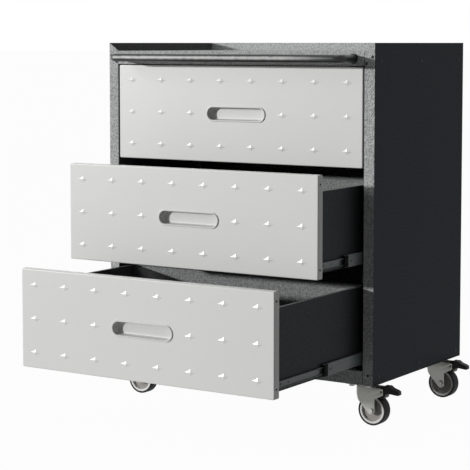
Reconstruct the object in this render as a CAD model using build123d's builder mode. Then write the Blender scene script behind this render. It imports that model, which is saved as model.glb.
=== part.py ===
from build123d import *
from math import pi, tan
import os

# Rolling tool cabinet: a folded-sheet body on four braked swivel casters, with three embossed
# drawers on full-extension slides, an open tray on top and a push handle across the front.
# Millimetres, +Z up, the front faces -Y. The origin is on the floor, below the body's centre.

# Body
BODY_W = 800.0
BODY_D = 490.0
BODY_H = 836.0
SHEET = 1.0
FOLD_R = 2.0
POST_W = 30.0
POST_RETURN = 62.0
REAR_FLANGE = 24.0
TRAY_DEPTH = 21.0
APRON_H = 34.5
BASE_RAIL_H = 34.0
RAIL_LIP = 14.0
DECK_FLANGE = 38.0
UPRIGHT_W = 40.0

# Push handle
HANDLE_TUBE_D = 20.5
HANDLE_TUBE_WALL = 1.5
HANDLE_REACH = 67.0
HANDLE_ARM_INSET = 30.0
HANDLE_BEND_R = 16.0
HANDLE_SPIGOT_L = 12.0
HANDLE_SPIGOT_FIT = 0.1
HANDLE_COLLAR_D = 25.0
HANDLE_COLLAR_T = 2.5

# Drawers
DRAWER_COUNT = 3
DRAWER_GAP = 1.75
DRAWER_SIDE_GAP = 3.5
DRAWER_OPENINGS = (0.0, 213.0, 406.0)
FRONT_FLANGE = 21.0
FRONT_EDGE_R = 2.5
BOX_D = 430.0
BOX_H = 192.0
BOX_LIFT = 13.5
BOX_LIP = 8.0
PANEL_FIT = 0.1

# Embossed points on the drawer fronts
EMBOSS_COLUMNS = 8
EMBOSS_ROWS = 3
EMBOSS_W = 28.0
EMBOSS_H = 13.0
EMBOSS_RISE = 3.4
EMBOSS_TIP_SHARE = 0.12
EMBOSS_EDGE_X = 43.0
EMBOSS_EDGE_Z = 39.0

# Recessed pulls
PULL_W = 178.0
PULL_H = 40.0
PULL_LIP = 4.0
PULL_LIP_RISE = 2.4
PULL_DEPTH = 16.0
PULL_WALL = 1.4

# Slides
SLIDE_END = 24.0
SLIDE_L = BOX_D - SLIDE_END
SLIDE_T = 12.7
SLIDE_STEEL = 1.2
SLIDE_LIFT = 16.0
SLIDE_SETBACK = 2.0
OUTER_RAIL_H = 40.0
MIDDLE_RAIL_H = 30.0
INNER_RAIL_H = 17.5
RAIL_FLANGE = 8.6
MIDDLE_FLANGE = 6.6
INNER_FLANGE = 6.5
CAGE_L = 150.0
CAGE_W = 4.0
CAGE_FIT = 0.2

# Screws
SCREW_HEAD_D = 7.0
SCREW_HEAD_H = 1.4
SIDE_SCREW_DROP = 44.0
SIDE_SCREW_EDGE = 28.0
BASE_SCREW_RISE = 20.0
POST_SCREW_OUTER = (7.5, 34.0)
POST_SCREW_INNER = (24.0, 49.5)
POST_SCREW_LOW = (15.0, 25.0)
FRONT_SCREW_D = 5.0
FRONT_SCREW_SETBACK = 10.0
FRONT_SCREW_EDGE = 23.0

# Casters
CASTER_RISE = 30.0
CASTER_INSET_X = 47.0
CASTER_INSET_Y = 50.0
CASTER_TRAIL = 24.0
WHEEL_D = 76.0
TREAD_W = 28.0
TREAD_R = 3.5
TYRE_T = 4.8
RIM_T = 4.6
HUB_DISC_T = 13.0
HUB_BOSS_D = 18.0
AXLE_D = 8.0
PIN_SIDES = 12
RIM_SIDES = 24
RUNNING_FIT = 0.05
FORK_T = 2.5
FORK_CLEAR = 2.5
FORK_LEAD = 20.0
FORK_SKIRT = 17.0
FORK_KNEE = 12.0
FORK_THROAT = 21.0
FORK_CORNER = 7.0
FORK_BOSS_R = 10.0
CROWN_BACK = 4.0
EAR_X = 33.0
EAR_CLEAR = 12.0
EAR_DROP = 8.5
EAR_BEVEL = 6.0
PLATE_X = 66.0
PLATE_Y = 80.0
PLATE_T = 3.0
RACE_D = 38.0
RACE_H = 6.4
SWIVEL_GAP = 0.3
KINGPIN_D = 10.0
KINGPIN_NUT_AF = 17.0
KINGPIN_NUT_H = 3.0
BOLT_HEAD_AF = 13.0
BOLT_HEAD_H = 5.0
BOLT_EDGE = 10.0
STIFFENER_W = 80.0
STIFFENER_H = 15.0
STIFFENER_T = 2.0
STIFFENER_END = 10.0
PEDAL_PIN_D = 5.0
PEDAL_PIN_FIT = 0.1
PEDAL_ROOT = 15.0
PEDAL_ROOT_W = 30.0
PEDAL_ROOT_H = 10.0
PEDAL_NECK = 4.0
PEDAL_REACH = 38.0
PEDAL_PAD_W = 40.0
PEDAL_PAD_TOP = 8.0
PEDAL_PAD_UNDER = 4.5
PEDAL_DROOP = 6.0
PEDAL_PAD_CORNER = 6.0
PEDAL_HUMP = 13.0
PEDAL_HUMP_L = 16.0
PEDAL_HUMP_STEP = 7.0
PEDAL_HEEL = 8.0
PEDAL_SHOE = 18.0
PEDAL_SHOE_L = 8.0

# Levels and planes worked out from the sizes above
CASTER_H = WHEEL_D + CASTER_RISE
FRONT_Y = -BODY_D / 2
BACK_Y = BODY_D / 2
REAR_Y = BACK_Y - SHEET
WALL_X = BODY_W / 2
POST_X = WALL_X - POST_W
FLOOR_Z = CASTER_H
RIM_Z = CASTER_H + BODY_H
TRAY_Z = RIM_Z - TRAY_DEPTH
APRON_Z = TRAY_Z - APRON_H
FRONT_W = 2 * (POST_X - DRAWER_SIDE_GAP)
FRONT_H = (APRON_Z - FLOOR_Z - BASE_RAIL_H - (DRAWER_COUNT + 1) * DRAWER_GAP) / DRAWER_COUNT
FRONT_BOTTOMS = [APRON_Z - (n + 1) * (DRAWER_GAP + FRONT_H) for n in range(DRAWER_COUNT)]
BOX_X = POST_X - SLIDE_T
SLIDE_Y = FRONT_Y + FRONT_FLANGE + SLIDE_SETBACK
AXLE_Z = WHEEL_D / 2 - CASTER_H
CROWN_Z = -PLATE_T - RACE_H - SWIVEL_GAP
FORK_W = TREAD_W + 2 * (FORK_CLEAR + FORK_T)

os.makedirs("parts", exist_ok=True)


def save(part, name):
    """Labels a finished piece and writes it to its own file."""
    part.label = name
    export_step(part, f"parts/{name}.step")


def folded_section(plane, points, side, thickness=SHEET):
    """Section of a sheet with sharp folds along the given points."""
    with BuildSketch(plane) as section:
        with BuildLine():
            Polyline(*points)
            offset(amount=thickness, side=side, kind=Kind.INTERSECTION)
        make_face()
    return section.sketch


def rolled_section(plane, points, side):
    """Section of a sheet with rounded folds along the given points."""
    with BuildSketch(plane) as section:
        with BuildLine():
            FilletPolyline(*points, radius=FOLD_R)
            offset(amount=SHEET, side=side)
        make_face()
    return section.sketch


def softened_block(plane, width, height, depth, edge_r):
    """Block that grows from a plane and ends in a face with rounded edges."""
    with BuildPart() as block:
        with BuildSketch(plane):
            Rectangle(width, height)
        extrude(amount=depth)
        fillet(block.faces().sort_by(Axis(plane.origin, plane.z_dir))[-1].edges(), edge_r)
    return block.part


def hex_heads(planes, across_flats, height):
    """Hexagonal heads seated on the given planes, each a solid of its own."""
    with BuildPart() as heads:
        with BuildSketch(*planes):
            RegularPolygon(across_flats / 2, 6, major_radius=False)
        extrude(amount=height)
    return heads.part


# Screw places: on the posts, and on the side walls beside the decks
def post_planes(side):
    """Screw planes on one front post, two beside the handle and one near the floor."""
    spots = [(POST_SCREW_OUTER[0], RIM_Z - POST_SCREW_OUTER[1]),
             (POST_SCREW_INNER[0], RIM_Z - POST_SCREW_INNER[1]),
             (POST_SCREW_LOW[0], FLOOR_Z + POST_SCREW_LOW[1])]
    return [Plane((side * (WALL_X - x), FRONT_Y, z), x_dir=(1, 0, 0), z_dir=(0, -1, 0)) for x, z in spots]


def wall_planes(side):
    """Screw planes on one side wall, a row into the tray and a row into the base pan."""
    rows = (RIM_Z - SIDE_SCREW_DROP, FLOOR_Z + BASE_SCREW_RISE)
    places = (FRONT_Y + SIDE_SCREW_EDGE, 0.0, BACK_Y - SIDE_SCREW_EDGE)
    return [Plane((side * WALL_X, y, z), x_dir=(0, 1, 0), z_dir=(side, 0, 0)) for z in rows for y in places]


SCREW_PLANES = [plane for side in (-1, 1) for plane in post_planes(side) + wall_planes(side)]

# Side panels: outer wall, front post with its return, and rear flange, folded from one sheet
with BuildPart() as side_panel_right:
    outline = [(POST_X, FRONT_Y + POST_RETURN), (POST_X, FRONT_Y), (WALL_X, FRONT_Y),
               (WALL_X, REAR_Y), (WALL_X - REAR_FLANGE, REAR_Y)]
    extrude(rolled_section(Plane.XY.offset(FLOOR_Z), outline, Side.LEFT), amount=BODY_H)
    # The return and the rear flange stop under the tray and above the base pan's stiffener.
    with BuildSketch(Plane.XY.offset(TRAY_Z - SHEET)):
        with Locations(((POST_X + WALL_X - SHEET) / 2, SHEET / 2)):
            Rectangle(POST_W - SHEET, BODY_D - SHEET)
    extrude(amount=TRAY_DEPTH + SHEET, mode=Mode.SUBTRACT)
    with BuildSketch(Plane.XY.offset(FLOOR_Z)):
        with Locations(((POST_X + WALL_X - SHEET) / 2, SHEET / 2)):
            Rectangle(POST_W - SHEET, BODY_D - SHEET)
    extrude(amount=BASE_RAIL_H, mode=Mode.SUBTRACT)
    # The post's top is mitred from the rim down to the tray.
    with BuildSketch(Plane.XZ.offset(-FRONT_Y)):
        with BuildLine():
            Polyline((WALL_X - SHEET, RIM_Z), (POST_X, RIM_Z), (POST_X, TRAY_Z), (WALL_X - SHEET, RIM_Z))
        make_face()
    extrude(amount=-FOLD_R, mode=Mode.SUBTRACT)

with BuildPart() as side_panel_left:
    mirror(side_panel_right.part, about=Plane.YZ)

save(side_panel_right.part, "side_panel_right")
save(side_panel_left.part, "side_panel_left")

# Back panel, set behind the rear flanges
with BuildPart() as back_panel:
    with BuildSketch(Plane.XZ.offset(-REAR_Y)):
        with Locations((0, FLOOR_Z + BODY_H / 2)):
            Rectangle(BODY_W, BODY_H)
    extrude(amount=-SHEET)

save(back_panel.part, "back_panel")


def deck(level, way, front_h):
    """Horizontal pan with a front rail, a rear flange and two side flanges, folded up or down.

    The floor's outer skin is at the given level, and way is 1 for flanges up or -1 for down.
    """
    fold_side = Side.LEFT if way > 0 else Side.RIGHT
    flange_z = level + way * DECK_FLANGE
    profile = [(FRONT_Y + RAIL_LIP, level + way * front_h), (FRONT_Y, level + way * front_h),
               (FRONT_Y, level), (REAR_Y, level), (REAR_Y, flange_z)]
    corner = SHEET + FOLD_R
    with BuildPart() as pan:
        extrude(folded_section(Plane.YZ, profile, fold_side), amount=POST_X, both=True)
        for side in (-1, 1):
            wing = [(side * POST_X, level), (side * (WALL_X - SHEET), level),
                    (side * (WALL_X - SHEET), flange_z)]
            wing_side = fold_side if side > 0 else (Side.RIGHT if way > 0 else Side.LEFT)
            extrude(folded_section(Plane.XZ, wing, wing_side), amount=BODY_D / 2 - corner, both=True)
            with BuildSketch(Plane.XY.offset(level)):
                with Locations((side * (POST_X + WALL_X - SHEET - FOLD_R) / 2, 0)):
                    Rectangle(POST_W - SHEET - FOLD_R, BODY_D - 2 * SHEET)
            extrude(amount=way * SHEET)
            tab_w = POST_W - 2 * corner
            with BuildSketch(Plane.XZ.offset(-FRONT_Y - SHEET)):
                with Locations((side * (POST_X + POST_W / 2), level + way * DECK_FLANGE / 2)):
                    Rectangle(tab_w, DECK_FLANGE)
            extrude(amount=-SHEET)
    return pan.part


save(deck(TRAY_Z, -1, APRON_H), "top_tray")
save(deck(FLOOR_Z, 1, BASE_RAIL_H), "base_pan")

# Caster places, front left, front right, rear left and rear right
CASTER_X = WALL_X - CASTER_INSET_X
CASTER_Y = BACK_Y - CASTER_INSET_Y
CASTER_PLACES = {"front_left": (-CASTER_X, -CASTER_Y), "front_right": (CASTER_X, -CASTER_Y),
                 "rear_left": (-CASTER_X, CASTER_Y), "rear_right": (CASTER_X, CASTER_Y)}
# Channels inside the base pan, over the casters
with BuildPart() as caster_stiffeners:
    with BuildSketch(Plane.XY.offset(FLOOR_Z + SHEET)):
        with Locations((-CASTER_X, 0), (CASTER_X, 0)):
            Rectangle(STIFFENER_W, BODY_D - 2 * STIFFENER_END)
    extrude(amount=STIFFENER_H)
    with BuildSketch(Plane.XY.offset(FLOOR_Z + SHEET + STIFFENER_T)):
        with Locations((-CASTER_X, 0), (CASTER_X, 0)):
            Rectangle(STIFFENER_W - 2 * STIFFENER_T, BODY_D)
    extrude(amount=STIFFENER_H, mode=Mode.SUBTRACT)

save(caster_stiffeners.part, "caster_stiffeners")

# Uprights on the side walls, which carry the rear ends of the slides
UPRIGHT_Y = SLIDE_Y + SLIDE_L - UPRIGHT_W / 2
with BuildPart() as slide_upright_right:
    channel = [(WALL_X - SHEET, UPRIGHT_Y + UPRIGHT_W / 2), (POST_X, UPRIGHT_Y + UPRIGHT_W / 2),
               (POST_X, UPRIGHT_Y - UPRIGHT_W / 2), (WALL_X - SHEET, UPRIGHT_Y - UPRIGHT_W / 2)]
    upright_h = TRAY_Z - FLOOR_Z - 2 * (DECK_FLANGE + SHEET)
    upright_foot = Plane.XY.offset(FLOOR_Z + DECK_FLANGE + SHEET)
    extrude(folded_section(upright_foot, channel, Side.LEFT), amount=upright_h)

with BuildPart() as slide_upright_left:
    mirror(slide_upright_right.part, about=Plane.YZ)

save(slide_upright_right.part, "slide_upright_right")
save(slide_upright_left.part, "slide_upright_left")

# Push handle: a straight tube on the spigots of two elbow arms that stand on collars on the apron
HANDLE_Y = FRONT_Y - HANDLE_REACH
HANDLE_Z = (APRON_Z + TRAY_Z) / 2
ARM_X = POST_X - HANDLE_ARM_INSET
TUBE_END = ARM_X - HANDLE_BEND_R
TUBE_INNER_R = HANDLE_TUBE_D / 2 - HANDLE_TUBE_WALL

with BuildPart() as push_handle:
    with BuildSketch(Plane.YZ):
        with Locations((HANDLE_Y, HANDLE_Z)):
            Circle(HANDLE_TUBE_D / 2)
            Circle(TUBE_INNER_R, mode=Mode.SUBTRACT)
    extrude(amount=TUBE_END, both=True)

save(push_handle.part, "push_handle")

with BuildPart() as handle_arms:
    with BuildLine():
        bend_end = (ARM_X, HANDLE_Y + HANDLE_BEND_R, HANDLE_Z)
        elbow = TangentArc((TUBE_END, HANDLE_Y, HANDLE_Z), bend_end, tangent=(1, 0, 0))
        Line(elbow @ 1, (ARM_X, FRONT_Y, HANDLE_Z))
    tube_mouth = Plane(elbow @ 0, z_dir=(1, 0, 0))
    with BuildSketch(tube_mouth):
        Circle(HANDLE_TUBE_D / 2)
    sweep()
    with BuildSketch(tube_mouth):
        Circle(TUBE_INNER_R - HANDLE_SPIGOT_FIT)
    extrude(amount=-HANDLE_SPIGOT_L)
    with BuildSketch(Plane((ARM_X, FRONT_Y, HANDLE_Z), z_dir=(0, -1, 0))):
        Circle(HANDLE_COLLAR_D / 2)
    extrude(amount=HANDLE_COLLAR_T)
    mirror(about=Plane.YZ)

save(handle_arms.part, "handle_arms")

save(hex_heads(SCREW_PLANES, SCREW_HEAD_D, SCREW_HEAD_H), "body_screws")

# Drawer front, in the drawer's own frame: the face at y = 0, the lower edge at z = 0
FACE = Plane.XZ
EMBOSS_PITCH_X = (FRONT_W - 2 * EMBOSS_EDGE_X) / (EMBOSS_COLUMNS - 1)
EMBOSS_PITCH_Z = (FRONT_H - 2 * EMBOSS_EDGE_Z) / (EMBOSS_ROWS - 1)
PULL_Z = FRONT_H / 2


def clear_of_pull(x, z):
    """Tells whether an embossed point stands outside the recessed pull."""
    return abs(x) > (PULL_W + EMBOSS_W) / 2 or abs(z - PULL_Z) > (PULL_H + EMBOSS_H) / 2


EMBOSS_GRID = [(-FRONT_W / 2 + EMBOSS_EDGE_X + column * EMBOSS_PITCH_X, EMBOSS_EDGE_Z + row * EMBOSS_PITCH_Z)
               for row in range(EMBOSS_ROWS) for column in range(EMBOSS_COLUMNS)]
EMBOSS_PLACES = [spot for spot in EMBOSS_GRID if clear_of_pull(*spot)]


EMBOSS_APEX = EMBOSS_RISE / (1 - EMBOSS_TIP_SHARE)

# One embossed point: a lozenge cut by four slanted flats that would meet at the apex
with BuildPart() as emboss_point:
    with BuildSketch(FACE):
        with BuildLine():
            Polyline((-EMBOSS_W / 2, 0), (0, -EMBOSS_H / 2), (EMBOSS_W / 2, 0), (0, EMBOSS_H / 2), close=True)
        make_face()
    extrude(amount=EMBOSS_RISE)
    for side_x in (-1, 1):
        for side_z in (-1, 1):
            slant = (2 * side_x / EMBOSS_W, -1 / EMBOSS_APEX, 2 * side_z / EMBOSS_H)
            split(bisect_by=Plane((side_x * EMBOSS_W / 2, 0, 0), z_dir=slant), keep=Keep.BOTTOM)

FRONT_SCREW_PLANES = [Plane((side * FRONT_W / 2, FRONT_SCREW_SETBACK, z), x_dir=(0, 1, 0), z_dir=(side, 0, 0))
                      for side in (-1, 1) for z in (FRONT_SCREW_EDGE, FRONT_H - FRONT_SCREW_EDGE)]

with BuildPart() as drawer_front:
    rim_plane = Plane((0, FRONT_FLANGE, FRONT_H / 2), x_dir=(1, 0, 0), z_dir=(0, -1, 0))
    add(softened_block(rim_plane, FRONT_W, FRONT_H, FRONT_FLANGE, FRONT_EDGE_R))
    add(softened_block(rim_plane, FRONT_W - 2 * SHEET, FRONT_H - 2 * SHEET, FRONT_FLANGE - SHEET,
                       FRONT_EDGE_R - SHEET), mode=Mode.SUBTRACT)
    with Locations(*[(x, 0, z) for x, z in EMBOSS_PLACES]):
        add(emboss_point.part)
    with BuildSketch(FACE):
        with Locations((0, PULL_Z)):
            SlotOverall(PULL_W - 2 * PULL_LIP + 2 * PANEL_FIT, PULL_H - 2 * PULL_LIP + 2 * PANEL_FIT)
    extrude(amount=-SHEET, mode=Mode.SUBTRACT)

# Pull cup: a lip on the face and a shallow stadium cup behind it
with BuildPart() as drawer_pull:
    with BuildSketch(FACE):
        with Locations((0, PULL_Z)):
            SlotOverall(PULL_W, PULL_H)
    extrude(amount=PULL_LIP_RISE)
    with BuildSketch(FACE):
        with Locations((0, PULL_Z)):
            SlotOverall(PULL_W - 2 * PULL_LIP, PULL_H - 2 * PULL_LIP)
    extrude(amount=-PULL_DEPTH - PULL_WALL)
    with BuildSketch(FACE.offset(PULL_LIP_RISE)):
        with Locations((0, PULL_Z)):
            SlotOverall(PULL_W - 2 * (PULL_LIP + PULL_WALL), PULL_H - 2 * (PULL_LIP + PULL_WALL))
    extrude(amount=-PULL_DEPTH - PULL_LIP_RISE, mode=Mode.SUBTRACT)

# Drawer box: a folded tray with turned-in lips, and a panel that closes the back of the front
with BuildPart() as drawer_box:
    box_y = FRONT_FLANGE + BOX_D / 2
    with BuildSketch(Plane.XY.offset(BOX_LIFT)):
        with Locations((0, box_y)):
            Rectangle(2 * BOX_X, BOX_D)
    extrude(amount=BOX_H)
    offset(amount=-SHEET, openings=drawer_box.faces().sort_by(Axis.Z)[-1])
    with BuildSketch(Plane.XY.offset(BOX_LIFT + BOX_H - SHEET)):
        with Locations((0, box_y)):
            Rectangle(2 * BOX_X, BOX_D)
            Rectangle(2 * (BOX_X - BOX_LIP), BOX_D - 2 * BOX_LIP, mode=Mode.SUBTRACT)
    extrude(amount=SHEET)
    panel_w = FRONT_W - 2 * (SHEET + PANEL_FIT)
    panel_h = FRONT_H - 2 * (SHEET + PANEL_FIT)
    with BuildSketch(FACE.offset(-FRONT_FLANGE)):
        with Locations((0, FRONT_H / 2)):
            Rectangle(panel_w, panel_h)
    extrude(amount=SHEET)
    tab_l = FRONT_FLANGE - FRONT_SCREW_SETBACK / 2
    with BuildSketch(FACE.offset(-FRONT_FLANGE)):
        with Locations(((panel_w - SHEET) / 2, FRONT_H / 2), ((SHEET - panel_w) / 2, FRONT_H / 2)):
            Rectangle(SHEET, panel_h)
    extrude(amount=tab_l)

drawer_screws = hex_heads(FRONT_SCREW_PLANES, FRONT_SCREW_D, SCREW_HEAD_H)


# Slides, in a frame with the closed slide's front end at y = 0 and its middle height at z = 0
def rail_pair(web_x, way, height, flange):
    """Left and right channels of one slide member: web, and two flanges that point one way."""
    tip_x = web_x + way * flange
    outline = [(tip_x, height / 2), (web_x, height / 2), (web_x, -height / 2), (tip_x, -height / 2)]
    with BuildPart() as rails:
        inside = Side.LEFT if way > 0 else Side.RIGHT
        extrude(folded_section(Plane.XZ, outline, inside, SLIDE_STEEL), amount=-SLIDE_L)
        mirror(about=Plane.YZ)
    return rails.part


OUTER_WEB_X = POST_X
INNER_WEB_X = BOX_X
MIDDLE_WEB_X = BOX_X + SLIDE_STEEL + INNER_FLANGE + SLIDE_STEEL / 2
outer_rails = rail_pair(OUTER_WEB_X, -1, OUTER_RAIL_H, RAIL_FLANGE)
middle_rails = rail_pair(MIDDLE_WEB_X, -1, MIDDLE_RAIL_H, MIDDLE_FLANGE)
inner_rails = rail_pair(INNER_WEB_X, 1, INNER_RAIL_H, INNER_FLANGE)


def cage_strips(inside_h, outside_h, mid_x, start):
    """Four ball cages of one raceway, above and below the channel on both sides of a drawer."""
    low = inside_h / 2 + CAGE_FIT
    high = outside_h / 2 - SLIDE_STEEL - CAGE_FIT
    with BuildPart() as cages:
        with BuildSketch(Plane.XZ.offset(-start)):
            with Locations(*[(sx * mid_x, sz * (low + high) / 2) for sx in (-1, 1) for sz in (-1, 1)]):
                Rectangle(CAGE_W, high - low)
        extrude(amount=-CAGE_L)
    return cages.part


with BuildPart() as ball_cages:
    front_cage_x = BOX_X + SLIDE_STEEL + CAGE_FIT + CAGE_W / 2
    rear_cage_x = MIDDLE_WEB_X - CAGE_FIT - CAGE_W / 2
    add(cage_strips(INNER_RAIL_H, MIDDLE_RAIL_H, front_cage_x, 0))
    add(cage_strips(MIDDLE_RAIL_H, OUTER_RAIL_H, rear_cage_x, SLIDE_L - CAGE_L))

# Place the drawers and their slides at the openings they rest at
for number, (opening, bottom) in enumerate(zip(DRAWER_OPENINGS, FRONT_BOTTOMS), start=1):
    rail_z = bottom + BOX_LIFT + SLIDE_LIFT
    drawer_place = Location((0, FRONT_Y - opening, bottom))
    save(drawer_front.part.moved(drawer_place), f"drawer_{number}_front")
    save(drawer_pull.part.moved(drawer_place), f"drawer_{number}_pull")
    save(drawer_box.part.moved(drawer_place), f"drawer_{number}_box")
    save(drawer_screws.moved(drawer_place), f"drawer_{number}_front_screws")
    save(inner_rails.moved(Location((0, SLIDE_Y - opening, rail_z))), f"drawer_{number}_inner_rails")
    middle_place = Location((0, SLIDE_Y - opening / 2, rail_z))
    save(middle_rails.moved(middle_place), f"drawer_{number}_middle_rails")
    save(ball_cages.part.moved(middle_place), f"drawer_{number}_ball_cages")
    save(outer_rails.moved(Location((0, SLIDE_Y, rail_z))), f"drawer_{number}_outer_rails")

# Casters, in a frame with the swivel axis at x = y = 0 and the underside of the base at z = 0
AXLE_X = CASTER_TRAIL
EAR_END = AXLE_X + EAR_X
EAR_Z = AXLE_Z + WHEEL_D / 2 + EAR_CLEAR
PIN_X = EAR_END - PEDAL_PIN_D
BOLT_PLANE = Plane((0, 0, -PLATE_T), x_dir=(1, 0, 0), z_dir=(0, 0, -1))


def pin_section(radius):
    """Many-sided section of a small pin, inside a circle of the given radius."""
    return RegularPolygon(radius, PIN_SIDES)


def bore_section(radius, mode=Mode.ADD):
    """Many-sided section of a hole, outside a circle of the given radius."""
    return RegularPolygon(radius, PIN_SIDES, major_radius=False, mode=mode)


with BuildPart() as caster_plate:
    with BuildSketch(Plane.XY):
        Rectangle(PLATE_X, PLATE_Y)
    extrude(amount=-PLATE_T)
    with BuildSketch(Plane.XY.offset(-PLATE_T)):
        RegularPolygon(RACE_D / 2, RIM_SIDES)
    extrude(amount=-RACE_H)

# Kingpin: a pin under the race that carries the fork's crown on a nut
with BuildPart() as kingpin:
    with BuildSketch(Plane.XY.offset(-PLATE_T - RACE_H)):
        pin_section(KINGPIN_D / 2)
    extrude(amount=-FORK_T - 2 * SWIVEL_GAP)
    with BuildSketch(Plane.XY.offset(CROWN_Z - FORK_T - SWIVEL_GAP)):
        RegularPolygon(KINGPIN_NUT_AF / 2, 6, major_radius=False)
    extrude(amount=-KINGPIN_NUT_H)

with BuildPart() as plate_bolts:
    with BuildSketch(BOLT_PLANE):
        with GridLocations(PLATE_X - 2 * BOLT_EDGE, PLATE_Y - 2 * BOLT_EDGE, 2, 2):
            RegularPolygon(BOLT_HEAD_AF / 2, 6, major_radius=False)
    extrude(amount=BOLT_HEAD_H)

# Fork: a pressed cap with two cheeks, a closed leading edge and ears for the brake pedal
with BuildPart() as fork:
    with BuildSketch(Plane.XZ):
        with BuildLine():
            skirt_z = CROWN_Z - FORK_T - FORK_SKIRT
            knee_z = AXLE_Z + FORK_BOSS_R + FORK_KNEE
            flat = FORK_BOSS_R * tan(pi / 8)
            Polyline((-FORK_LEAD, CROWN_Z), (-FORK_LEAD, skirt_z), (-FORK_LEAD / 2, knee_z),
                     (AXLE_X - FORK_BOSS_R, AXLE_Z - flat), (AXLE_X - flat, AXLE_Z - FORK_BOSS_R),
                     (AXLE_X + flat, AXLE_Z - FORK_BOSS_R), (AXLE_X + FORK_BOSS_R, AXLE_Z - flat),
                     (AXLE_X + FORK_BOSS_R, EAR_Z - FORK_THROAT), (EAR_END, EAR_Z - EAR_DROP),
                     (EAR_END, CROWN_Z - FORK_T), (EAR_END - EAR_BEVEL, CROWN_Z), close=True)
        make_face()
    extrude(amount=FORK_W / 2, both=True)
    chamfer(fork.edges().filter_by(Axis.Z).group_by(Axis.X)[0], FORK_CORNER)
    # The wheel's room between the cheeks, and the open crown behind the race
    with BuildSketch(Plane.XY.offset(CROWN_Z - FORK_T)) as wheel_room:
        with Locations((CASTER_H / 2 - FORK_LEAD + FORK_T, 0)):
            Rectangle(CASTER_H, FORK_W - 2 * FORK_T)
        chamfer(wheel_room.vertices().group_by(Axis.X)[0], FORK_CORNER - FORK_T)
    extrude(amount=-CASTER_H, mode=Mode.SUBTRACT)
    with BuildSketch(Plane.XY.offset(CROWN_Z - FORK_T)):
        with Locations((CASTER_H / 2 + CROWN_BACK + FORK_LEAD, 0)):
            Rectangle(CASTER_H, FORK_W - 2 * FORK_T)
    extrude(amount=FORK_T, mode=Mode.SUBTRACT)
    with BuildSketch(Plane.XY.offset(CROWN_Z)):
        bore_section(KINGPIN_D / 2 + RUNNING_FIT)
    extrude(amount=-FORK_T, mode=Mode.SUBTRACT)
    with BuildSketch(Plane.XZ):
        with Locations((AXLE_X, AXLE_Z)):
            bore_section(AXLE_D / 2 + RUNNING_FIT)
        with Locations((PIN_X, EAR_Z)):
            bore_section(PEDAL_PIN_D / 2 + PEDAL_PIN_FIT)
    extrude(amount=FORK_W / 2, both=True, mode=Mode.SUBTRACT)

with BuildPart() as axle:
    with BuildSketch(Plane.XZ):
        with Locations((AXLE_X, AXLE_Z)):
            pin_section(AXLE_D / 2)
    extrude(amount=FORK_W / 2, both=True)
    with BuildSketch(Plane.XZ.offset(FORK_W / 2), Plane.XZ.offset(-FORK_W / 2 - BOLT_HEAD_H)):
        with Locations((AXLE_X, AXLE_Z)):
            RegularPolygon(BOLT_HEAD_AF / 2, 6, major_radius=False)
    extrude(amount=BOLT_HEAD_H)

# Wheel: a moulded hub with recessed sides, and a tyre keyed to the hub's many-sided rim
RIM_R = WHEEL_D / 2 - TYRE_T
BOSS_W = TREAD_W + 2 * (FORK_CLEAR - SWIVEL_GAP)
RIM_W = TREAD_W - TREAD_R
WHEEL_PLANE = Plane((AXLE_X, 0, AXLE_Z), x_dir=(1, 0, 0), z_dir=(0, -1, 0))

with BuildPart() as wheel_hub:
    with BuildSketch(WHEEL_PLANE):
        RegularPolygon(RIM_R, RIM_SIDES)
        RegularPolygon(RIM_R - RIM_T, RIM_SIDES, mode=Mode.SUBTRACT)
    extrude(amount=RIM_W / 2, both=True)
    with BuildSketch(WHEEL_PLANE):
        RegularPolygon(RIM_R - RIM_T, RIM_SIDES)
    extrude(amount=HUB_DISC_T / 2, both=True)
    with BuildSketch(WHEEL_PLANE):
        RegularPolygon(HUB_BOSS_D / 2, PIN_SIDES)
    extrude(amount=BOSS_W / 2, both=True)
    with BuildSketch(WHEEL_PLANE):
        bore_section(AXLE_D / 2 + RUNNING_FIT)
    extrude(amount=BOSS_W / 2, both=True, mode=Mode.SUBTRACT)

with BuildPart() as tyre:
    with BuildSketch(WHEEL_PLANE):
        Circle(WHEEL_D / 2)
        RegularPolygon(RIM_R + RUNNING_FIT, RIM_SIDES, mode=Mode.SUBTRACT)
    extrude(amount=TREAD_W / 2, both=True)

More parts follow.
